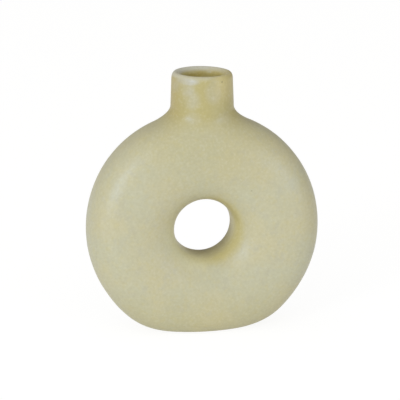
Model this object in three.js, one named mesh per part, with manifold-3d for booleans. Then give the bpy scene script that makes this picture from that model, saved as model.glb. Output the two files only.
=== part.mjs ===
// A ring-shaped bud vase in glazed stoneware: two pressed half rings joined with slip, and a neck on top.
// Millimetres, +Z up. The ring stands in the XZ plane, its front faces -Y, and the foot rests on z = 0.
import * as THREE from "three";
import { mergeVertices } from "three/addons/utils/BufferGeometryUtils.js";
import Module from "manifold-3d";

// Driving dimensions of the ring.
const ringWidth = 90;
const ringHeight = 85.5; // foot to crest, without the neck
const ringDepth = 28.5;
const holeRadius = 11.45; // at the waist of the hole
const holeDrop = 0.95; // the hole's centre below the ring's centre
const holeDip = 5.1; // how far each face falls towards the hole
const bodyWall = 3.5;
const sectionPower = 2.6; // 2 is an ellipse, and more is flatter on the faces with tighter corners
const holePower = 4.5; // the same on the half of the section by the hole

// Driving dimensions of the soft, hand-pressed outline.
const squareness = 0.5; // extra radius on the four diagonals
const sag = 1.2; // slump of the clay, fuller below the middle and slimmer above it
const hipBulge = 1.4; // swelling on each side of the foot
const hipAngle = 33.5; // degrees from the foot
const hipSpread = 15.8; // degrees
const footPress = 2; // how far the round bottom is pressed flat
const footRound = 1; // softness of the foot's edge

// Driving dimensions of the neck and of the shoulder that blends it into the ring.
const neckRise = 15.7; // crest of the ring to the rim
const mouthRadius = 11.6; // outside, below the lip
const neckFlare = 0.4; // how much wider the neck is where it leaves the shoulder
const neckWall = 2.85;
const lipRise = 2.4; // height of the rounded lip
const shoulderReach = 7; // out from the neck on to the ring
const shoulderRise = 4.4; // up the neck
const shoulderFade = 0.5; // the cosine round the section below which the shoulder fades into the face
const ceilingReach = 4; // the same blend on the inside
const ceilingRise = 2.6;

// Driving dimensions of the joints.
const slip = 0.5; // thickness of the slip between two pieces
const neckJointRise = 1; // the neck's joint above the crest

// Steps of the surface grid.
const roundSteps = 48; // round the ring
const sectionSteps = 20; // round its section
const openSteps = 4; // grid steps left open on each side of the crest, for the neck
const shoulderRows = 5;
const neckRows = 4;
const lipRows = 6;
const solvePasses = 20; // to find the ring's angles below the neck
const weldDistance = 1e-4; // corners this close are one

// Sizes that follow from the driving dimensions.
const uprightRadius = (ringHeight + footPress) / 2;
const ringCentre = uprightRadius - footPress;
const neckRadius = mouthRadius + neckFlare;
const rimHeight = ringHeight + neckRise;
const lipBase = rimHeight - lipRise;
const neckJoint = ringHeight + neckJointRise;
const neckColumns = 8 * openSteps;
const crestStep = roundSteps / 4;

// The two skins of the wall. A skin is set in from the outside, rests on its floor and rises into the neck.
const outside = {
  inset: 0,
  floor: 0,
  neck: neckRadius,
  mouth: mouthRadius,
  reach: shoulderReach,
  rise: shoulderRise,
};
const inside = {
  inset: bodyWall,
  floor: bodyWall,
  neck: neckRadius - neckWall,
  mouth: mouthRadius - neckWall,
  reach: ceilingReach,
  rise: ceilingRise,
};

// Outer radius of the ring at an angle from +X, seen from the front.
function outlineRadius(theta) {
  const across = Math.cos(theta);
  const up = Math.sin(theta);
  const fromFoot = THREE.MathUtils.radToDeg(Math.acos(THREE.MathUtils.clamp(-up, -1, 1)));
  const oval = (ringWidth / 2) * across ** 2 + uprightRadius * up ** 2;
  const diagonal = squareness * (2 * across * up) ** 2;
  const slump = -sag * up * across ** 2;
  const hip = hipBulge * Math.exp(-(((fromFoot - hipAngle) / hipSpread) ** 2));
  return oval + diagonal + slump + hip;
}

// A sine or cosine drawn out towards 1 and -1, which flattens the section's faces and sides.
function flattened(value, power) {
  return Math.sign(value) * Math.abs(value) ** (2 / power);
}

// The angle on the outer half of the section whose sine is drawn out to this value.
function flattenedAngle(value) {
  return Math.asin(Math.sign(value) * Math.abs(value) ** (sectionPower / 2));
}

// How square the section is at an angle phi round it.
function powerAt(phi) {
  return Math.cos(phi) < 0 ? holePower : sectionPower;
}

// Place across the section, from -1 at the hole to 1 at the outer edge.
function acrossSection(phi) {
  return flattened(Math.cos(phi), powerAt(phi));
}

// Place of a skin through the depth of the ring. Its faces fall towards the hole.
function throughDepth(phi, skin) {
  const nearHole = Math.max(-acrossSection(phi), 0);
  const halfDepth = ringDepth / 2 - skin.inset - holeDip * nearHole ** 2;
  return halfDepth * flattened(Math.sin(phi), powerAt(phi));
}

// Distance of a skin from the ring's axis, at theta round the ring and phi round its section.
function axisDistance(theta, phi, skin) {
  const outer = outlineRadius(theta) - skin.inset;
  const inner = holeRadius - holeDrop * Math.sin(theta) + skin.inset;
  return (outer + inner) / 2 + ((outer - inner) / 2) * acrossSection(phi);
}

// Height that the shoulder adds at a distance from the neck's axis: a quarter of an ellipse.
function shoulderLift(distance, skin) {
  const near = THREE.MathUtils.clamp((skin.neck + skin.reach - distance) / skin.reach, 0, 1);
  return skin.rise * (1 - Math.sqrt(1 - near ** 2));
}

// A height pressed flat at the floor, with a rounded edge.
function pressed(height, floor) {
  const above = height - floor;
  if (above <= -footRound) return floor;
  if (above >= footRound) return height;
  return floor + (above + footRound) ** 2 / (4 * footRound);
}

// A point of a skin of the ring.
function ringPoint(theta, phi, skin) {
  const distance = axisDistance(theta, phi, skin);
  const x = distance * Math.cos(theta);
  const y = throughDepth(phi, skin);
  const onTop = Math.sin(theta) > 0 ? THREE.MathUtils.clamp(Math.cos(phi) / shoulderFade, 0, 1) : 0;
  const z = ringCentre + distance * Math.sin(theta) + onTop * shoulderLift(Math.hypot(x, y), skin);
  return new THREE.Vector3(x, y, pressed(z, skin.floor));
}

const roundAngle = (step) => (2 * Math.PI * step) / roundSteps;
const sectionAngle = (step) => (2 * Math.PI * step) / sectionSteps;
const columnAngle = (column) => (2 * Math.PI * column) / neckColumns;

// The ring's angles along the edge of the opening, which is a square of grid steps round the crest.
function openingAngles(column) {
  const zigzag = (k) => Math.asin(Math.sin(columnAngle(k))) / (Math.PI / 2);
  const walk = (k) => Math.round(2 * openSteps * zigzag(k));
  const along = (k) => THREE.MathUtils.clamp(walk(k), -openSteps, openSteps);
  const theta = roundAngle(crestStep - along(column + neckColumns / 4));
  return { theta, phi: sectionAngle(along(column)) };
}

// The ring's angles straight below the neck's circle.
function circleAngles(column, skin) {
  const turn = columnAngle(column);
  const phi = flattenedAngle((skin.neck * Math.sin(turn)) / (ringDepth / 2 - skin.inset));
  let theta = Math.PI / 2;
  for (let pass = 0; pass < solvePasses; pass++) {
    theta = Math.acos((skin.neck * Math.cos(turn)) / axisDistance(theta, phi, skin));
  }
  return { theta, phi };
}

// One loop of points, made by a function of the column.
function loopOf(pointAt) {
  return Array.from({ length: neckColumns }, (_, column) => pointAt(column));
}

// A point at a radius round the neck's axis.
function neckPoint(radius, column, z) {
  const turn = columnAngle(column);
  return new THREE.Vector3(radius * Math.cos(turn), radius * Math.sin(turn), z);
}

// Loops over the shoulder, from the opening's edge to the neck's circle, closer together near the neck.
function shoulderLoops(skin) {
  return Array.from({ length: shoulderRows + 1 }, (_, row) => {
    const near = Math.sin(((row / shoulderRows) * Math.PI) / 2);
    return loopOf((column) => {
      const edge = openingAngles(column);
      const circle = circleAngles(column, skin);
      const theta = THREE.MathUtils.lerp(edge.theta, circle.theta, near);
      const phi = THREE.MathUtils.lerp(edge.phi, circle.phi, near);
      return ringPoint(theta, phi, skin);
    });
  });
}

// Loops up the neck, from the last loop of the shoulder to the base of the lip.
function neckLoops(foot, skin) {
  return Array.from({ length: neckRows }, (_, row) => {
    const up = (row + 1) / neckRows;
    const radius = THREE.MathUtils.lerp(skin.neck, skin.mouth, up);
    return loopOf((column) => neckPoint(radius, column, THREE.MathUtils.lerp(foot[column].z, lipBase, up)));
  });
}

// Loops over the rounded lip, from the outside to the inside, without the two that the neck already has.
function lipLoops() {
  return Array.from({ length: lipRows - 1 }, (_, row) => {
    const over = (Math.PI * (row + 1)) / lipRows;
    const radius = mouthRadius - neckWall / 2 + (neckWall / 2) * Math.cos(over);
    const z = lipBase + lipRise * Math.sin(over);
    return loopOf((column) => neckPoint(radius, column, z));
  });
}

// Triangles of one four-sided cell, its corners in order as seen from outside the clay.
function cell(a, b, c, d) {
  return [a, b, c, a, c, d];
}

// Triangles of a skin of the ring, apart from the opening under the neck.
function ringTriangles(skin) {
  const corners = [];
  for (let i = 0; i < roundSteps; i++) {
    for (let j = -sectionSteps / 2; j < sectionSteps / 2; j++) {
      const overCrest = i >= crestStep - openSteps && i < crestStep + openSteps;
      if (overCrest && j >= -openSteps && j < openSteps) continue;
      const at = (di, dj) => ringPoint(roundAngle(i + di), sectionAngle(j + dj), skin);
      corners.push(...cell(at(0, 0), at(0, 1), at(1, 1), at(1, 0)));
    }
  }
  return skin === inside ? corners.reverse() : corners;
}

// Triangles over the shoulder, up the neck, over the lip and down the bore to the ceiling of the ring.
function neckTriangles() {
  const outerShoulder = shoulderLoops(outside);
  const innerShoulder = shoulderLoops(inside);
  const loops = [
    ...outerShoulder,
    ...neckLoops(outerShoulder.at(-1), outside),
    ...lipLoops(),
    ...neckLoops(innerShoulder.at(-1), inside).reverse(),
    ...innerShoulder.reverse(),
  ];
  const corners = [];
  for (let row = 0; row + 1 < loops.length; row++) {
    for (let column = 0; column < neckColumns; column++) {
      const next = (column + 1) % neckColumns;
      const [low, high] = [loops[row], loops[row + 1]];
      corners.push(...cell(low[column], low[next], high[next], high[column]));
    }
  }
  return corners;
}

const wasm = await Module();
wasm.setup();

// A closed geometry as a solid that can be joined and cut.
function solidOf(geometry) {
  const bare = geometry.clone();
  bare.deleteAttribute("normal");
  bare.deleteAttribute("uv");
  const merged = mergeVertices(bare, weldDistance);
  return new wasm.Manifold(
    new wasm.Mesh({
      numProp: 3,
      vertProperties: merged.attributes.position.array,
      triVerts: Uint32Array.from(merged.index.array),
    }),
  );
}

// The whole clay wall, before it is parted at the joints.
function clayWall() {
  const corners = [...ringTriangles(outside), ...neckTriangles(), ...ringTriangles(inside)];
  return solidOf(new THREE.BufferGeometry().setFromPoints(corners));
}

// A block that holds everything between two heights and between two depths.
function blockBetween(y0, y1, z0, z1) {
  const geometry = new THREE.BoxGeometry(2 * ringWidth, y1 - y0, z1 - z0);
  return solidOf(geometry.translate(0, (y0 + y1) / 2, (z0 + z1) / 2));
}

// A plug through the ring that parts the seam round the hole from the seam round the outer edge.
function holePlug() {
  const radius = (uprightRadius + holeRadius) / 2;
  const geometry = new THREE.CylinderGeometry(radius, radius, 2 * ringDepth, roundSteps);
  return solidOf(geometry.translate(0, 0, ringCentre));
}

// Materials.
const glaze = () => new THREE.MeshStandardMaterial({ color: 0xc5c1a0, roughness: 0.55, metalness: 0 });
const slipClay = () => new THREE.MeshStandardMaterial({ color: 0xb7b089, roughness: 0.7, metalness: 0 });

// A named sub-part from a cut solid.
function part(name, solid, material) {
  const cut = solid.getMesh();
  const geometry = new THREE.BufferGeometry();
  geometry.setAttribute("position", new THREE.BufferAttribute(cut.vertProperties, 3));
  geometry.setIndex(new THREE.BufferAttribute(cut.triVerts, 1));
  geometry.computeVertexNormals();
  const mesh = new THREE.Mesh(geometry, material);
  mesh.name = name;
  return mesh;
}

// The vase, parted at its joints.
const wall = clayWall();
const below = -ringHeight;
const above = rimHeight + ringHeight;
const jointLow = neckJoint - slip / 2;
const jointHigh = neckJoint + slip / 2;
const seamBand = wall.intersect(blockBetween(-slip / 2, slip / 2, below, jointLow));
const plug = holePlug();

const vase = new THREE.Group();
vase.name = "bud_vase";
vase.add(
  part("front_shell", wall.intersect(blockBetween(-ringDepth, -slip / 2, below, jointLow)), glaze()),
  part("back_shell", wall.intersect(blockBetween(slip / 2, ringDepth, below, jointLow)), glaze()),
  part("edge_seam", seamBand.subtract(plug), slipClay()),
  part("hole_seam", seamBand.intersect(plug), slipClay()),
  part("neck", wall.intersect(blockBetween(-ringDepth, ringDepth, jointHigh, above)), glaze()),
  part("neck_seam", wall.intersect(blockBetween(-ringDepth, ringDepth, jointLow, jointHigh)), slipClay()),
);

export default vase;
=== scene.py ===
"""Looks of the ring bud vase: a soft hand-pressed ring of glazed stoneware with a short neck."""

import math

import bmesh
import bpy
import numpy as np
from mathutils import Matrix, Vector


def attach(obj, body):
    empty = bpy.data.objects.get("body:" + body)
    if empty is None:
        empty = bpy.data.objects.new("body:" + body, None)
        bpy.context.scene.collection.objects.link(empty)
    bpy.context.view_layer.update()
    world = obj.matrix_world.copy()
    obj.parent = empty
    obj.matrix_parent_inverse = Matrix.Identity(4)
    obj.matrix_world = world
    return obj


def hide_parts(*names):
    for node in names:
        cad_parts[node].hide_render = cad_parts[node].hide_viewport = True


MM = 0.001

# Sizes of the ring, the same as in the part's source: lengths in metres, the hip's angles in degrees.
RING_SIZES = {
    "Ring width": 90 * MM,
    "Ring height": 85.5 * MM,
    "Ring depth": 28.5 * MM,
    "Section power": 2.6,
    "Hole power": 4.5,
    "Hole radius": 11.45 * MM,
    "Hole drop": 0.95 * MM,
    "Hole dip": 5.1 * MM,
    "Squareness": 0.5 * MM,
    "Sag": 1.2 * MM,
    "Hip bulge": 1.4 * MM,
    "Hip angle": 33.5,
    "Hip spread": 15.8,
    "Foot press": 2 * MM,
    "Foot round": 1 * MM,
    "Rim height": 101.2 * MM,
    "Lip rise": 2.4 * MM,
    "Shoulder fade": 0.5,
}
BODY_WALL = 3.5 * MM
NECK_WALL = 2.85 * MM
MOUTH_RADIUS = 11.6 * MM
NECK_FLARE = 0.4 * MM

# The lip is rolled inwards by this much, which the part's source doesn't have.
LIP_ROLL = 0.6 * MM

# Sizes that follow from those.
CREST = RING_SIZES["Ring height"]
RIM = RING_SIZES["Rim height"]
NECK_RADIUS = MOUTH_RADIUS + NECK_FLARE
UPRIGHT = (CREST + RING_SIZES["Foot press"]) / 2
RING_CENTRE = UPRIGHT - RING_SIZES["Foot press"]
HOLE_CENTRE = RING_CENTRE - RING_SIZES["Hole drop"]

# The two skins of the wall.
OUTSIDE = {
    "Inset": 0.0,
    "Floor": 0.0,
    "Neck radius": NECK_RADIUS,
    "Mouth radius": MOUTH_RADIUS,
    "Lip half": NECK_WALL / 2,
    "Shoulder reach": 7 * MM,
    "Shoulder rise": 4.4 * MM,
    "Inside": 0.0,
}
INSIDE = {
    "Inset": BODY_WALL,
    "Floor": BODY_WALL,
    "Neck radius": NECK_RADIUS - NECK_WALL,
    "Mouth radius": MOUTH_RADIUS - NECK_WALL - LIP_ROLL,
    "Lip half": -NECK_WALL / 2 - LIP_ROLL,
    "Shoulder reach": 4 * MM,
    "Shoulder rise": 2.6 * MM,
    "Inside": 1.0,
}

# Unevenness that the hand leaves.
HAND_SIZES = {
    "Slow swell": 0.15 * MM,
    "Slow length": 34 * MM,
    "Quick swell": 0.05 * MM,
    "Quick length": 7 * MM,
    "Flat foot": 5 * MM,
    "Rim dip": 0.1 * MM,
    "Rim reach": 13 * MM,
    "Rim height": RIM,
    "Mouth radius": MOUTH_RADIUS,
}

# Joints.
SLIP = 0.5 * MM
NECK_JOINT_RISE = 1 * MM
NECK_JOINT = CREST + NECK_JOINT_RISE

# Joints are cut with the wall in millimetres and turned, because filling a joint face goes wrong
# on very small shapes and along level edges. Corners nearer to a cut than the slack count as on it.
CUTTING_BENCH = Matrix.Rotation(math.radians(25), 4, "Y") @ Matrix.Scale(1 / MM, 4)
CUT_SLACK = 1e-4

# Cells of the grid for each step of fineness: round the ring, round its section and round the neck,
# and up the shoulder, the neck and the lip.
FINENESS = 32
RING_CELLS = 12
SECTION_CELLS = 5
NECK_CELLS = 8
SHOULDER_ROWS = 0.625
NECK_ROWS = 0.75
LIP_ROWS = 0.375

# The opening under the neck, each way from the crest: round the ring and round its section.
OPEN_ROUND = math.radians(30)
OPEN_SECTION = math.radians(72)

# Limits of the working: passes to find the angles below the neck, what counts as nothing, and the
# distance at which corners are one.
SOLVE_PASSES = 4
ROUNDING = 1e-6
WELD = 0.005 * MM

# Pale patches on the front of the neck: place across, height, half width, half height and strength. The
# first, below the lip, and the last two, at the foot of the neck, are painted highlights of the soft boxes;
# the others are thick, pale glaze.
PALE_PATCHES_AND_PAINTED_HIGHLIGHTS = [
    # A painted highlight below the lip.
    (-6.6 * MM, 99.5 * MM, 4.8 * MM, 1.7 * MM, 0.9),
    # Thick, pale glaze.
    (-8.4 * MM, 97 * MM, 4.5 * MM, 3.8 * MM, 0.5),
    (-5.8 * MM, 92.6 * MM, 4 * MM, 4.6 * MM, 0.4),
    (2.4 * MM, 95.2 * MM, 4.2 * MM, 5.4 * MM, 0.35),
    # Painted highlights at the foot of the neck.
    (-5.2 * MM, 85.6 * MM, 4 * MM, 3 * MM, 0.22),
    (6.9 * MM, 85.3 * MM, 4 * MM, 3 * MM, 0.22),
]

# Dark pits in the glaze of the front: place across, height, radius and strength.
PITS = [
    (5.8 * MM, 99 * MM, 0.5 * MM, 0.5),
    (16.6 * MM, 57.5 * MM, 0.45 * MM, 0.3),
]

# Finish of the glaze and of the bare clay, which is each piece's second material. Inside, the glaze
# has changed fully at the shade depth below the rim.
SHADE_DEPTH = 3 * MM
NECK_MIDDLE = CREST + 6.5 * MM
GLAZE_IOR = 1.48
GLAZE_ROUGHNESS = 0.29
CLAY_ROUGHNESS = 0.85
COOL_GLOSS = (0.4, 0.6, 1.0, 1.0)
CLAY_INDEX = 1

# The floor: half its width, its level, and the share of it that glows, for the light that it throws
# and as the camera sees it. What the camera sees glows more, to make up for the grey of the paper.
FLOOR_HALF = 3.0
FLOOR_LEVEL = -0.01 * MM
FLOOR_GLOW = 0.36
FLOOR_GLOW_SEEN = 0.8
FLOOR_STRENGTH_SEEN = 1.1
PAPER = (0.9, 0.9, 0.9, 1)
WHITE = (1, 1, 1, 1)

# The tent of light: its level, and how it grows to the left, to the front and upwards. It stops
# falling at the back limit.
TENT_COLOUR = (1.0, 0.985, 0.95, 1)
TENT_LEVEL = 0.382
TENT_LEFT = 0.165
TENT_FRONT = 0.3
TENT_ABOVE = 0.28
TENT_BACK_LIMIT = 0.1

# Soft boxes in front of the vase, in metres and watts: place, width, height and power.
SOFT_BOXES = {
    "left_box": ((-0.76, -0.74, 0.3), 0.3, 0.5, 4.15),
    "right_box": ((0.7, -0.82, 0.2), 0.6, 0.3, 2.15),
}
CLOTH_COLOUR = (0.93, 0.97, 1.0)
LAMP_AIM = Vector((0, 0, 0.05))

# The camera: a long lens, a little above the vase and to its left.
CAMERA_AZIMUTH = math.radians(-9.57)
CAMERA_ELEVATION = math.radians(15.995)
CAMERA_DISTANCE = 0.6405
CAMERA_AIM = Vector((0, 0, 0.0508))
SENSOR_WIDTH = 36
FOCAL_LENGTH = 149.7
SHIFT_ACROSS = -0.00565
SHIFT_UP = 0.000105


# Arithmetic that builds nodes.


class Field:
    """A value that the nodes of a tree work out, written like a plain number."""

    def __init__(self, socket):
        self.socket = socket

    def __add__(self, other):
        return node_math("ADD", self, other)

    def __radd__(self, other):
        return node_math("ADD", other, self)

    def __sub__(self, other):
        return node_math("SUBTRACT", self, other)

    def __rsub__(self, other):
        return node_math("SUBTRACT", other, self)

    def __mul__(self, other):
        return node_math("MULTIPLY", self, other)

    def __rmul__(self, other):
        return node_math("MULTIPLY", other, self)

    def __truediv__(self, other):
        return node_math("DIVIDE", self, other)

    def __rtruediv__(self, other):
        return node_math("DIVIDE", other, self)

    def __neg__(self):
        return node_math("MULTIPLY", self, -1.0)


def feed(value, socket):
    """Sets a socket to a plain value, or links a field or an output to it."""
    if isinstance(value, Field):
        value = value.socket
    if isinstance(value, bpy.types.NodeSocket):
        socket.id_data.links.new(value, socket)
    else:
        socket.default_value = value


def node_math(operation, *values):
    """One Math node."""
    tree = next(v.socket.id_data for v in values if isinstance(v, Field))
    node = tree.nodes.new("ShaderNodeMath")
    node.operation = operation
    for socket, value in zip(node.inputs, values):
        feed(value, socket)
    return Field(node.outputs[0])


def square(value):
    return value * value


def hypotenuse(a, b):
    return node_math("SQRT", square(a) + square(b))


def clamp01(value):
    return node_math("MINIMUM", node_math("MAXIMUM", value, 0.0), 1.0)


def lerp(a, b, share):
    return a + (b - a) * share


def add_node(tree, kind, options=None, **inputs):
    """A new node with its options set and its inputs fed, inputs named with _ for a space."""
    node = tree.nodes.new(kind)
    for name, value in (options or {}).items():
        setattr(node, name, value)
    for name, value in inputs.items():
        feed(value, node.inputs[name.replace("_", " ")])
    return node


def three_fields(tree, vector):
    """The three parts of a vector."""
    return [Field(socket) for socket in add_node(tree, "ShaderNodeSeparateXYZ", Vector=vector).outputs]


def noise(tree, place, size, detail, seed):
    """Noise from 0 to 1 with blotches of about this size in metres."""
    node = add_node(tree, "ShaderNodeTexNoise", {"noise_dimensions": "4D"}, Vector=place, W=seed)
    feed(1.0 / size, node.inputs["Scale"])
    feed(detail, node.inputs["Detail"])
    return Field(node.outputs[0])


# The rule of the ring's shape, as in the part's source.


def outline_radius(theta, s):
    """Outer radius of the ring at an angle from +X, seen from the front."""
    across = node_math("COSINE", theta)
    up = node_math("SINE", theta)
    from_foot = node_math("DEGREES", node_math("ARCCOSINE", -up))
    oval = s["Ring width"] / 2 * square(across) + (s["Ring height"] + s["Foot press"]) / 2 * square(up)
    diagonal = s["Squareness"] * square(2 * across * up)
    slump = s["Sag"] * up * square(across)
    hip = s["Hip bulge"] * node_math("EXPONENT", -square((from_foot - s["Hip angle"]) / s["Hip spread"]))
    return oval + diagonal - slump + hip


def signed_power(value, power):
    """A power that keeps the sign. What is within rounding of nothing counts as nothing."""
    size = node_math("MAXIMUM", node_math("ABSOLUTE", value) - ROUNDING, 0.0)
    return node_math("SIGN", value) * node_math("POWER", size, power)


def section_power(phi, s):
    """How square the section is: more on the side of the hole than outside."""
    by_hole = node_math("LESS_THAN", node_math("COSINE", phi), 0.0)
    return lerp(s["Section power"], s["Hole power"], by_hole)


def section_side(phi, s):
    """Place across the section, from -1 at the hole to 1 at the outer edge."""
    return signed_power(node_math("COSINE", phi), 2.0 / section_power(phi, s))


def section_face(phi, s):
    """Place through the depth of a skin. The faces fall towards the hole."""
    near_hole = node_math("MAXIMUM", -section_side(phi, s), 0.0)
    half_depth = s["Ring depth"] / 2 - s["Inset"] - s["Hole dip"] * square(near_hole)
    return half_depth * signed_power(node_math("SINE", phi), 2.0 / section_power(phi, s))


def axis_distance(theta, phi, s):
    """Distance of a skin from the ring's axis."""
    outer = outline_radius(theta, s) - s["Inset"]
    inner = s["Hole radius"] - s["Hole drop"] * node_math("SINE", theta) + s["Inset"]
    return (outer + inner) / 2 + (outer - inner) / 2 * section_side(phi, s)


def shoulder_lift(distance, s):
    """Height that the shoulder adds near the neck: a quarter of an ellipse."""
    near = clamp01((s["Neck radius"] + s["Shoulder reach"] - distance) / s["Shoulder reach"])
    return s["Shoulder rise"] * (1.0 - node_math("SQRT", 1.0 - square(near)))


def pressed(height, s):
    """A height pressed flat at the floor, with a rounded edge."""
    above = height - s["Floor"]
    over = node_math("MAXIMUM", above - s["Foot round"], 0.0)
    bend = node_math("MINIMUM", node_math("MAXIMUM", above + s["Foot round"], 0.0), s["Foot round"] * 2)
    return s["Floor"] + square(bend) / (s["Foot round"] * 4) + over


def ring_point(theta, phi, s):
    """A point of a skin of the ring, as three fields."""
    distance = axis_distance(theta, phi, s)
    up = node_math("SINE", theta)
    x = distance * node_math("COSINE", theta)
    y = section_face(phi, s)
    on_top = node_math("GREATER_THAN", up, 0.0) * clamp01(node_math("COSINE", phi) / s["Shoulder fade"])
    lift = on_top * shoulder_lift(hypotenuse(x, y), s)
    centre = (s["Ring height"] - s["Foot press"]) / 2
    return x, y, pressed(centre + distance * up + lift, s)


def opening_angles(turn):
    """The ring's angles along the edge of the opening."""

    def along(angle):
        zigzag = node_math("ARCSINE", node_math("SINE", angle)) / (math.pi / 4)
        return node_math("MINIMUM", node_math("MAXIMUM", zigzag, -1.0), 1.0)

    return math.pi / 2 - OPEN_ROUND * along(turn + math.pi / 2), OPEN_SECTION * along(turn)


def circle_angles(turn, s):
    """The ring's angles straight below the neck's circle."""
    aside = s["Neck radius"] * node_math("SINE", turn) / (s["Ring depth"] / 2 - s["Inset"])
    phi = node_math("ARCSINE", signed_power(aside, s["Section power"] / 2))
    reach = s["Neck radius"] * node_math("COSINE", turn)
    theta = node_math("ARCCOSINE", reach / (s["Ring height"] / 2))
    for _ in range(SOLVE_PASSES):
        theta = node_math("ARCCOSINE", reach / axis_distance(theta, phi, s))
    return theta, phi


# The node trees that make one skin of the wall and give the wall its handwork.


def new_tree(name, sizes):
    """A geometry tree with a named input for each size, and those inputs as fields."""
    tree = bpy.data.node_groups.new(name, "GeometryNodeTree")
    tree.interface.new_socket(name="Geometry", in_out="INPUT", socket_type="NodeSocketGeometry")
    for size in sizes:
        tree.interface.new_socket(name=size, in_out="INPUT", socket_type="NodeSocketFloat")
    tree.interface.new_socket(name="Material", in_out="INPUT", socket_type="NodeSocketMaterial")
    tree.interface.new_socket(name="Geometry", in_out="OUTPUT", socket_type="NodeSocketGeometry")
    start = tree.nodes.new("NodeGroupInput")
    return tree, start, {size: Field(start.outputs[size]) for size in sizes}


def end_tree(tree, start, geometry):
    """The closing nodes of a tree."""
    real = add_node(tree, "GeometryNodeRealizeInstances", Geometry=geometry).outputs[0]
    material = start.outputs["Material"]
    dressed = add_node(tree, "GeometryNodeSetMaterial", Geometry=real, Material=material)
    feed(dressed.outputs[0], tree.nodes.new("NodeGroupOutput").inputs[0])


def vertex_place(tree):
    """The place of the vertex or face at hand."""
    return tree.nodes.new("GeometryNodeInputPosition").outputs[0]


def unit_grid(tree, columns, rows):
    """A flat grid of cells, and its two coordinates from 0 to 1."""
    grid = add_node(tree, "GeometryNodeMeshGrid", Size_X=1.0, Size_Y=1.0)
    feed(columns + 1, grid.inputs["Vertices X"])
    feed(rows + 1, grid.inputs["Vertices Y"])
    x, y, _ = three_fields(tree, vertex_place(tree))
    return grid.outputs["Mesh"], x + 0.5, y + 0.5


def placed(tree, geometry, point):
    """The geometry with each vertex moved to a point."""
    place = add_node(tree, "ShaderNodeCombineXYZ", X=point[0], Y=point[1], Z=point[2])
    return add_node(tree, "GeometryNodeSetPosition", Geometry=geometry, Position=place.outputs[0]).outputs[0]


def ring_band(tree, s):
    """The ring without the opening under its neck."""
    grid, u, v = unit_grid(tree, s["Fineness"] * RING_CELLS, s["Fineness"] * SECTION_CELLS)
    theta = u * (2 * math.pi)
    phi = math.pi - v * (2 * math.pi)
    under_neck = node_math("LESS_THAN", node_math("ABSOLUTE", theta - math.pi / 2), OPEN_ROUND)
    across_neck = node_math("LESS_THAN", node_math("ABSOLUTE", phi), OPEN_SECTION)
    opening = under_neck * across_neck
    by_face = {"domain": "FACE"}
    open_ring = add_node(tree, "GeometryNodeDeleteGeometry", by_face, Geometry=grid, Selection=opening)
    return placed(tree, open_ring.outputs[0], ring_point(theta, phi, s))


def shoulder_band(tree, s):
    """From the edge of the opening to the foot of the neck."""
    grid, u, v = unit_grid(tree, s["Fineness"] * NECK_CELLS, s["Fineness"] * SHOULDER_ROWS)
    turn = u * (2 * math.pi)
    near = node_math("SINE", v * (math.pi / 2))
    edge = opening_angles(turn)
    circle = circle_angles(turn, s)
    theta, phi = (lerp(edge[k], circle[k], near) for k in range(2))
    return placed(tree, grid, ring_point(theta, phi, s))


def around_neck(turn, radius, z):
    """A point at this turn, radius and height round the axis of the neck."""
    return radius * node_math("COSINE", turn), radius * node_math("SINE", turn), z


def neck_band(tree, s):
    """From the foot of the neck to the base of the lip."""
    grid, u, v = unit_grid(tree, s["Fineness"] * NECK_CELLS, s["Fineness"] * NECK_ROWS)
    turn = u * (2 * math.pi)
    foot = ring_point(*circle_angles(turn, s), s)[2]
    z = lerp(foot, s["Rim height"] - s["Lip rise"], v)
    return placed(tree, grid, around_neck(turn, lerp(s["Neck radius"], s["Mouth radius"], v), z))


def lip_band(tree, s):
    """From the base of the lip to its top."""
    grid, u, v = unit_grid(tree, s["Fineness"] * NECK_CELLS, s["Fineness"] * LIP_ROWS)
    turn = u * (2 * math.pi)
    over = v * (math.pi / 2)
    radius = s["Mouth radius"] - s["Lip half"] * (1.0 - node_math("COSINE", over))
    z = s["Rim height"] - s["Lip rise"] * (1.0 - node_math("SINE", over))
    return placed(tree, grid, around_neck(turn, radius, z))


def skin_tree():
    """The tree that makes one skin of the wall, from foot to lip."""
    tree, start, s = new_tree("ring_skin", [*RING_SIZES, *OUTSIDE, "Fineness", "Shade depth"])
    joined = tree.nodes.new("GeometryNodeJoinGeometry")
    for band in (ring_band, shoulder_band, neck_band, lip_band):
        tree.links.new(band(tree, s), joined.inputs[0])
    welded = add_node(tree, "GeometryNodeMergeByDistance", Geometry=joined.outputs[0], Distance=WELD)
    turned = add_node(tree, "GeometryNodeFlipFaces", Mesh=welded.outputs[0], Selection=s["Inside"])
    z = three_fields(tree, vertex_place(tree))[2]
    depth = s["Inside"] * clamp01((s["Rim height"] - z) / s["Shade depth"])
    marked = add_node(
        tree, "GeometryNodeStoreNamedAttribute", Geometry=turned.outputs[0], Name="inside", Value=depth
    )
    end_tree(tree, start, marked.outputs[0])
    return tree


def wave(tree, length, seed):
    """A soft wave between -1 and 1 that follows the place in space."""
    return noise(tree, vertex_place(tree), length, detail=0.0, seed=seed) * 2.0 - 1.0


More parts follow.
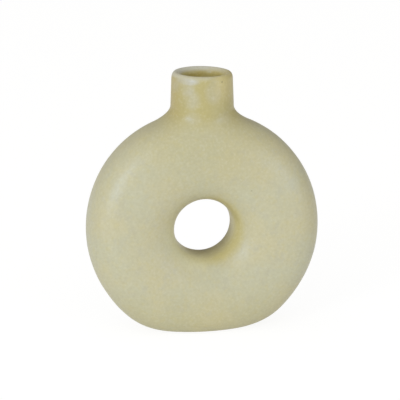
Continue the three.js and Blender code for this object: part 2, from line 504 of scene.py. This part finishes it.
def hand_tree():
    """The tree that gives the wall the slow swells of handwork and a rim that dips to one side."""
    tree, start, s = new_tree("hand_touch", HAND_SIZES)
    x, _, z = three_fields(tree, vertex_place(tree))
    swell = s["Slow swell"] * wave(tree, s["Slow length"], seed=3.0)
    swell = swell + s["Quick swell"] * wave(tree, s["Quick length"], seed=8.0)
    swell = swell * clamp01(z / s["Flat foot"])
    normal = tree.nodes.new("GeometryNodeInputNormal").outputs[0]
    push = add_node(tree, "ShaderNodeVectorMath", {"operation": "SCALE"}, Vector=normal, Scale=swell)
    swelled = add_node(tree, "GeometryNodeSetPosition", Geometry=start.outputs[0], Offset=push.outputs[0])
    high = clamp01((z - s["Rim height"] + s["Rim reach"]) / s["Rim reach"])
    dip = add_node(tree, "ShaderNodeCombineXYZ", Z=-s["Rim dip"] * high * x / s["Mouth radius"])
    dipped = add_node(tree, "GeometryNodeSetPosition", Geometry=swelled.outputs[0], Offset=dip.outputs[0])
    end_tree(tree, start, dipped.outputs[0])
    return tree


def made_by_nodes(name, mesh, tree, sizes, material):
    """A plain mesh made by a tree from another mesh, with these sizes."""
    maker = bpy.data.objects.new(name, mesh)
    bpy.context.scene.collection.objects.link(maker)
    modifier = maker.modifiers.new("make", "NODES")
    modifier.node_group = tree
    for item in tree.interface.items_tree:
        if item.in_out == "INPUT" and item.name in sizes:
            modifier[item.identifier] = float(sizes[item.name])
        if item.in_out == "INPUT" and item.name == "Material":
            modifier[item.identifier] = material
    bpy.context.view_layer.update()
    made = bpy.data.meshes.new_from_object(maker.evaluated_get(bpy.context.evaluated_depsgraph_get()))
    bpy.data.objects.remove(maker)
    return made


def whole_wall(glaze):
    """The clay wall in one piece, before it is parted at its joints."""
    tree = skin_tree()
    both = bmesh.new()
    for name, skin in (("outside", OUTSIDE), ("inside", INSIDE)):
        sizes = {**RING_SIZES, **skin, "Fineness": FINENESS, "Shade depth": SHADE_DEPTH}
        both.from_mesh(made_by_nodes(name, bpy.data.meshes.new(name), tree, sizes, glaze))
    bmesh.ops.remove_doubles(both, verts=both.verts, dist=WELD)
    wall = bpy.data.meshes.new("wall")
    both.to_mesh(wall)
    both.free()
    return made_by_nodes("wall", wall, hand_tree(), HAND_SIZES, glaze)


# Parting the wall into its pieces.


def cut_away(piece, point, outward):
    """Cuts off what lies beyond a plane and closes the cut with a flat joint face."""
    everything = piece.verts[:] + piece.edges[:] + piece.faces[:]
    cut = bmesh.ops.bisect_plane(
        piece, geom=everything, dist=CUT_SLACK, plane_co=point, plane_no=outward, clear_outer=True
    )
    rim = [e for e in cut["geom_cut"] if isinstance(e, bmesh.types.BMEdge)]
    filled = bmesh.ops.triangle_fill(piece, edges=rim, use_beauty=True, normal=outward)
    for face in filled["geom"]:
        if isinstance(face, bmesh.types.BMFace):
            face.material_index = CLAY_INDEX


def keep_near_hole(piece, near):
    """Keeps the verts nearer to the ring's axis than the middle of its section, or the others."""
    middle = (UPRIGHT + RING_SIZES["Hole radius"]) / 2
    away = [v for v in piece.verts if (math.hypot(v.co.x, v.co.z - RING_CENTRE) < middle) != near]
    bmesh.ops.delete(piece, geom=away, context="VERTS")


def soft_normals(mesh):
    """Gives glazed faces the normals of the whole wall, and joint faces their own."""
    corner_vertex = np.empty(len(mesh.loops), np.int32)
    mesh.loops.foreach_get("vertex_index", corner_vertex)
    wall_normal = np.empty(3 * len(mesh.vertices), np.float32)
    mesh.attributes["wall_normal"].data.foreach_get("vector", wall_normal)
    normals = wall_normal.reshape(-1, 3)[corner_vertex]
    for face in mesh.polygons:
        face.use_smooth = True
        if face.material_index == CLAY_INDEX:
            normals[face.loop_start : face.loop_start + face.loop_total] = face.normal
    mesh.normals_split_custom_set(normals.tolist())
    mesh.attributes.remove(mesh.attributes["wall_normal"])


def wall_piece(name, wall, cuts, materials, near_hole=None):
    """One piece of the wall, cut out of a copy of it."""
    piece = bmesh.new()
    piece.from_mesh(wall)
    layer = piece.verts.layers.float_vector.new("wall_normal")
    for vertex in piece.verts:
        vertex[layer] = vertex.normal
    bmesh.ops.transform(piece, matrix=CUTTING_BENCH, verts=piece.verts)
    for point, outward in cuts:
        cut_away(piece, CUTTING_BENCH @ point, (CUTTING_BENCH.to_3x3() @ outward).normalized())
    bmesh.ops.transform(piece, matrix=CUTTING_BENCH.inverted(), verts=piece.verts)
    if near_hole is not None:
        keep_near_hole(piece, near_hole)
    mesh = bpy.data.meshes.new(name)
    piece.to_mesh(mesh)
    piece.free()
    soft_normals(mesh)
    mesh.materials.clear()
    for material in materials:
        mesh.materials.append(material)
    made = bpy.data.objects.new(name, mesh)
    bpy.context.scene.collection.objects.link(made)
    return made


def build_vase(glaze, clay):
    """All the pieces, each in place of its CAD solid."""
    wall = whole_wall(glaze)
    up, down = Vector((0, 0, 1)), Vector((0, 0, -1))
    back, front = Vector((0, 1, 0)), Vector((0, -1, 0))
    joint_low = Vector((0, 0, NECK_JOINT - SLIP / 2))
    joint_high = Vector((0, 0, NECK_JOINT + SLIP / 2))
    seam_front = Vector((0, -SLIP / 2, 0))
    seam_back = Vector((0, SLIP / 2, 0))
    below_neck = (joint_low, up)
    seam_cuts = [below_neck, (seam_front, front), (seam_back, back)]
    plan = [
        ("glazed_front", "front_shell", "body_glaze", [below_neck, (seam_front, back)], None),
        ("glazed_back", "back_shell", "body_glaze", [below_neck, (seam_back, front)], None),
        ("glazed_neck", "neck", "neck_glaze", [(joint_high, down)], None),
        ("slip_round_edge", "edge_seam", "slip", seam_cuts, False),
        ("slip_round_hole", "hole_seam", "slip", seam_cuts, True),
        ("slip_under_neck", "neck_seam", "slip", [(joint_low, down), (joint_high, up)], None),
    ]
    for name, node, slot, cuts, near_hole in plan:
        piece = wall_piece(name, wall, cuts, (glaze, clay), near_hole)
        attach(piece, "root")
        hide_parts(node)


# Tools for the materials.


def colour(red, green, blue):
    """A colour as it is seen on a screen, 0 to 255, as the shader needs it."""
    screen = (red / 255, green / 255, blue / 255)
    linear = [c / 12.92 if c <= 0.04045 else ((c + 0.055) / 1.055) ** 2.4 for c in screen]
    return (*linear, 1.0)


def new_material(name):
    """A node material, its tree and its shader."""
    material = bpy.data.materials.new(name)
    material.use_nodes = True
    tree = material.node_tree
    return material, tree, tree.nodes["Principled BSDF"]


def mixed(share, first, second):
    """Two colours mixed by a share from 0 to 1."""
    node = add_node(share.socket.id_data, "ShaderNodeMix", {"data_type": "RGBA"})
    feed(share, node.inputs[0])
    feed(first, node.inputs[6])
    feed(second, node.inputs[7])
    return node.outputs[2]


def stretched(tree, place, scale):
    """A place scaled differently along each axis."""
    return add_node(tree, "ShaderNodeMapping", Vector=place, Scale=scale).outputs[0]


def ramp(value, low, high):
    """A soft step from 0 at low to 1 at high."""
    node = add_node(value.socket.id_data, "ShaderNodeMapRange", {"interpolation_type": "SMOOTHSTEP"})
    feed(value, node.inputs["Value"])
    feed(low, node.inputs["From Min"])
    feed(high, node.inputs["From Max"])
    return Field(node.outputs[0])


def roughen(shader, height, strength, depth):
    """Gives a shader small bumps of this height."""
    bump = add_node(shader.id_data, "ShaderNodeBump", Strength=strength, Distance=depth, Height=height)
    feed(bump.outputs[0], shader.inputs["Normal"])


# The glaze.


class GlazeSpot:
    """A spot of the glaze: where it lies on the vase, and the noises that mottle it."""

    def __init__(self, tree):
        place = tree.nodes.new("ShaderNodeTexCoord").outputs["Object"]
        depth = add_node(tree, "ShaderNodeAttribute", {"attribute_name": "inside"})
        self.inside = Field(depth.outputs["Fac"])
        self.x, self.y, self.z = three_fields(tree, place)
        self.on_front = ramp(self.y, 0.0, -4 * MM)
        self.above_hole = self.z - HOLE_CENTRE
        self.from_hole = hypotenuse(self.x, self.above_hole)
        self.cloud = noise(tree, place, 16 * MM, detail=3.0, seed=1.0)
        self.patch = noise(tree, place, 4 * MM, detail=3.0, seed=2.0)
        self.streak = noise(tree, stretched(tree, place, (1.0, 1.0, 0.5)), 6 * MM, detail=1.5, seed=4.0)
        self.fleck = noise(tree, place, 2 * MM, detail=1.0, seed=6.0)
        self.grain = noise(tree, place, 0.9 * MM, detail=2.0, seed=3.0)
        self.near_neck = near_neck(self)
        self.pits = front_pits(self)


def near_neck(spot):
    """How near the neck is: all the way up it, and fading over the top of the ring."""
    up_neck = ramp(spot.z, CREST - 6.5 * MM, NECK_MIDDLE)
    over_ring = ramp(hypotenuse(spot.x, spot.z - NECK_MIDDLE), 44 * MM, 14 * MM) * 0.4
    return clamp01(up_neck + over_ring)


def front_pits(spot):
    """The few dark pits in the glaze of the front."""
    share = 0.0
    for across, height, radius, strength in PITS:
        away = hypotenuse(spot.x - across, spot.z - height)
        share = share + ramp(away, radius, radius * 0.3) * strength
    return share * spot.on_front


def pale_patches_and_painted_highlights(spot):
    """Soft patches on the front of the neck: thick, pale glaze, and painted highlights below the lip and at
    the foot of the neck.
    """
    share = 0.0
    for across, height, half_width, half_height, strength in PALE_PATCHES_AND_PAINTED_HIGHLIGHTS:
        away = square((spot.x - across) / half_width) + square((spot.z - height) / half_height)
        share = share + ramp(away, 1.0, 0.0) * strength
    return clamp01(share * spot.on_front) * ramp(spot.streak, 0.2, 0.5)


def pale_lip_and_painted_reflection(spot):
    """The lip, painted pale: thin glaze with a painted reflection, most at the back and on the left."""
    left_half = ramp(spot.x, 7 * MM, -1 * MM) * 0.48
    far_left = ramp(spot.x, -6 * MM, -12 * MM) * 0.3
    behind = ramp(spot.y, -2 * MM, 7 * MM) * 0.75
    on_lip = ramp(spot.z, RIM - 1.9 * MM, RIM - 0.4 * MM)
    return on_lip * clamp01(left_half + far_left + behind)


def toward(spot, degrees):
    """How far a spot lies from the middle of the hole in a direction, in degrees up from the right."""
    angle = math.radians(degrees)
    return spot.x * math.cos(angle) + spot.above_hole * math.sin(angle)


def pooled_glaze_and_painted_shade(spot):
    """Dark glaze in the hole, which also paints the shade there: a pool low on the right towards its back,
    and a little high on its front.
    """
    low_right = ramp(toward(spot, -55), 2 * MM, 11 * MM)
    high_right = ramp(toward(spot, 63), 6 * MM, 10 * MM)
    in_hole = ramp(spot.from_hole, 13.2 * MM, 11.9 * MM) * ramp(spot.y, -6 * MM, 7 * MM)
    on_rim = ramp(spot.from_hole, 14.4 * MM, 12.2 * MM) * ramp(spot.y, 2 * MM, -4 * MM)
    return in_hole * low_right * 0.72 + on_rim * high_right * 0.2


def painted_light_low_left(spot):
    """The front of the hole's rim at the lower left, painted paler: painted light where the rim turns into
    the hole.
    """
    low_left = ramp(toward(spot, 220) / spot.from_hole, 0.3, 0.9)
    on_rim = ramp(spot.from_hole, 18.5 * MM, 12.5 * MM) * ramp(spot.y, 0.0, -5 * MM)
    return on_rim * low_left * 0.5


def body_colour(spot):
    """Sage in cooler and warmer clouds, with dull patches and flecks of ochre."""
    sage = mixed(ramp(spot.cloud, 0.35, 0.68), colour(190, 187, 158), colour(194, 187, 151))
    sage = mixed(ramp(spot.patch, 0.5, 0.72) * 0.6, sage, colour(185, 181, 156))
    return mixed(ramp(spot.fleck, 0.45, 0.75) * 0.3, sage, colour(197, 187, 135))


def hole_colour(spot, skin):
    """Ochre round the hole, a little wider on its right, with painted light on the lower left of its rim and
    dark glaze that also paints shade in the hole.
    """
    ochre = ramp(spot.from_hole - spot.x * 0.1, 14.5 * MM, 11.5 * MM) * 0.75
    skin = mixed(ochre, skin, colour(198, 186, 125))
    # Painted light: a pale colour on the lower left of the hole's rim.
    skin = mixed(painted_light_low_left(spot), skin, colour(222, 217, 178))
    # Dark pooled glaze that also paints the shade inside the hole.
    return mixed(pooled_glaze_and_painted_shade(spot), skin, colour(112, 98, 46))


def neck_and_foot_colour(spot, skin):
    """Ochre at the neck and the foot. The neck has brown on the left, gold on the right, and pale patches
    and painted highlights.
    """
    foot = ramp(spot.z + spot.cloud * (20 * MM), 35 * MM, 8 * MM) * 0.4
    skin = mixed(clamp01(spot.near_neck + foot), skin, colour(182, 171, 116))
    far_left = ramp(spot.x, -8 * MM, -12 * MM)
    brown = far_left * ramp(spot.z, CREST - 3.5 * MM, CREST + 4.5 * MM) * 0.3
    skin = mixed(brown, skin, colour(178, 155, 92))
    right_of_middle = ramp(spot.x, 1 * MM, 5 * MM) * ramp(spot.x, 15 * MM, 6 * MM)
    gold = right_of_middle * ramp(spot.z, CREST + 2.5 * MM, CREST + 11.5 * MM) * 0.4
    skin = mixed(gold, skin, colour(222, 206, 148))
    # Pale glaze, and painted highlights below the lip and at the foot of the neck.
    return mixed(pale_patches_and_painted_highlights(spot), skin, colour(190, 186, 166))


def mouth_colour(spot, skin):
    """Warm olive inside the mouth, and the pale lip with its painted reflection."""
    olive = mixed(ramp(spot.patch, 0.35, 0.65), colour(203, 186, 112), colour(206, 194, 132))
    skin = mixed(spot.inside, skin, olive)
    # The pale lip: thin glaze and a painted reflection.
    return mixed(pale_lip_and_painted_reflection(spot), skin, colour(202, 199, 180))


def speckled(spot, skin):
    """Fine dark and pale grain all over, and the pits."""
    skin = mixed(ramp(spot.grain, 0.45, 0.75) * 0.125, skin, colour(150, 141, 102))
    skin = mixed(ramp(spot.grain, 0.5, 0.25) * 0.135, skin, colour(219, 217, 199))
    return mixed(spot.pits, skin, colour(118, 106, 74))


def sage_glaze():
    """Satin sage-khaki glaze, finely mottled, that leaves the clay bare under the foot."""
    material, tree, shader = new_material("sage_glaze")
    spot = GlazeSpot(tree)
    skin = body_colour(spot)
    for layer in (hole_colour, neck_and_foot_colour, mouth_colour, speckled):
        skin = layer(spot, skin)
    bare = ramp(spot.z + spot.patch * (0.4 * MM), 0.46 * MM, 0.28 * MM) * (1.0 - spot.inside)
    clay = mixed(ramp(spot.grain, 0.3, 0.7), colour(188, 171, 142), colour(212, 199, 172))
    roughness = GLAZE_ROUGHNESS + 0.1 * spot.cloud + 0.08 * spot.grain - spot.near_neck * 0.04
    feed(mixed(bare, skin, clay), shader.inputs["Base Color"])
    feed(lerp(roughness, CLAY_ROUGHNESS, bare), shader.inputs["Roughness"])
    shader.inputs["IOR"].default_value = GLAZE_IOR
    shader.inputs["Specular Tint"].default_value = COOL_GLOSS
    height = spot.patch * 0.4 + spot.grain * 0.08 - spot.pits * 2.0
    roughen(shader, height, strength=0.35, depth=0.12 * MM)
    return material


def bare_clay():
    """Fired buff clay on the joint faces."""
    material, tree, shader = new_material("bare_clay")
    place = tree.nodes.new("ShaderNodeTexCoord").outputs["Object"]
    grain = noise(tree, place, 0.7 * MM, detail=3.0, seed=0.0)
    feed(mixed(grain, colour(176, 162, 132), colour(206, 193, 166)), shader.inputs["Base Color"])
    shader.inputs["Roughness"].default_value = CLAY_ROUGHNESS
    roughen(shader, grain, strength=0.4, depth=0.1 * MM)
    return material


# Stage, light and camera.


def seen_directly(tree):
    """1 for rays that come straight from the camera."""
    return Field(tree.nodes.new("ShaderNodeLightPath").outputs["Is Camera Ray"])


def mixed_shaders(share, first, second):
    """Two shaders mixed by a share from 0 to 1."""
    node = share.socket.id_data.nodes.new("ShaderNodeMixShader")
    feed(share, node.inputs[0])
    feed(first.outputs[0], node.inputs[1])
    feed(second.outputs[0], node.inputs[2])
    return node.outputs[0]


def white_floor():
    """A pale floor that is white to the eye, apart from the vase's soft, faint shadow."""
    material = bpy.data.materials.new("white_floor")
    material.use_nodes = True
    tree = material.node_tree
    tree.nodes.clear()
    seen = seen_directly(tree)
    paper = add_node(tree, "ShaderNodeBsdfDiffuse", Color=PAPER)
    glow = add_node(tree, "ShaderNodeEmission", Color=WHITE, Strength=lerp(1.0, FLOOR_STRENGTH_SEEN, seen))
    surface = mixed_shaders(lerp(FLOOR_GLOW, FLOOR_GLOW_SEEN, seen), paper, glow)
    feed(surface, tree.nodes.new("ShaderNodeOutputMaterial").inputs["Surface"])
    return material


def build_stage():
    """A wide floor, a hair below the foot so that their faces don't coincide."""
    sides = [(-1, -1), (1, -1), (1, 1), (-1, 1)]
    corners = [(x * FLOOR_HALF, y * FLOOR_HALF, FLOOR_LEVEL) for x, y in sides]
    mesh = bpy.data.meshes.new("floor")
    mesh.from_pydata(corners, [], [(0, 1, 2, 3)])
    mesh.materials.append(white_floor())
    floor = bpy.data.objects.new("floor", mesh)
    bpy.context.scene.collection.objects.link(floor)


def build_world():
    """Soft light from all sides, strongest from above, the front and the left, and white to the eye."""
    world = bpy.data.worlds.new("soft_tent")
    bpy.context.scene.world = world
    world.use_nodes = True
    tree = world.node_tree
    tree.nodes.clear()
    x, y, z = three_fields(tree, tree.nodes.new("ShaderNodeTexCoord").outputs["Generated"])
    behind = node_math("MINIMUM", y, TENT_BACK_LIMIT)
    strength = TENT_LEVEL - x * TENT_LEFT - behind * TENT_FRONT + z * TENT_ABOVE
    tent = add_node(tree, "ShaderNodeBackground", Color=TENT_COLOUR, Strength=strength)
    plain = add_node(tree, "ShaderNodeBackground", Color=WHITE, Strength=1.0)
    surface = mixed_shaders(seen_directly(tree), tent, plain)
    feed(surface, tree.nodes.new("ShaderNodeOutputWorld").inputs["Surface"])


def soft_box(name, place, width, height, power):
    """A lamp behind a cool white cloth, which faces the vase."""
    light = bpy.data.lights.new(name, "AREA")
    light.shape = "RECTANGLE"
    light.size = width
    light.size_y = height
    light.energy = power
    light.color = CLOTH_COLOUR
    lamp = bpy.data.objects.new(name, light)
    lamp.location = place
    lamp.rotation_euler = (LAMP_AIM - Vector(place)).to_track_quat("-Z", "Y").to_euler()
    bpy.context.scene.collection.objects.link(lamp)


def build_camera():
    """The camera of the front view."""
    sideways = math.cos(CAMERA_ELEVATION)
    back = Vector((
        math.sin(CAMERA_AZIMUTH) * sideways,
        -math.cos(CAMERA_AZIMUTH) * sideways,
        math.sin(CAMERA_ELEVATION),
    ))
    lens = bpy.data.cameras.new("camera")
    lens.sensor_width = SENSOR_WIDTH
    lens.lens = FOCAL_LENGTH
    lens.shift_x = SHIFT_ACROSS
    lens.shift_y = SHIFT_UP
    camera = bpy.data.objects.new("camera", lens)
    camera.location = CAMERA_AIM + back * CAMERA_DISTANCE
    camera.rotation_euler = back.to_track_quat("Z", "Y").to_euler()
    bpy.context.scene.collection.objects.link(camera)
    bpy.context.scene.camera = camera


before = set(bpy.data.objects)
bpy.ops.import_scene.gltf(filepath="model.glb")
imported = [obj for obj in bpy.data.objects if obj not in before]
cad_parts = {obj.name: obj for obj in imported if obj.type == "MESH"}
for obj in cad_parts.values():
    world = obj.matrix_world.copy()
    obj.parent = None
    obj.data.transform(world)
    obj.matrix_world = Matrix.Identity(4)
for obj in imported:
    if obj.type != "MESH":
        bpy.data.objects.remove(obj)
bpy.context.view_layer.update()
build_vase(sage_glaze(), bare_clay())
build_stage()
build_world()
for name, box in SOFT_BOXES.items():
    soft_box(name, *box)
build_camera()
bpy.context.scene.view_settings.view_transform = "Standard"
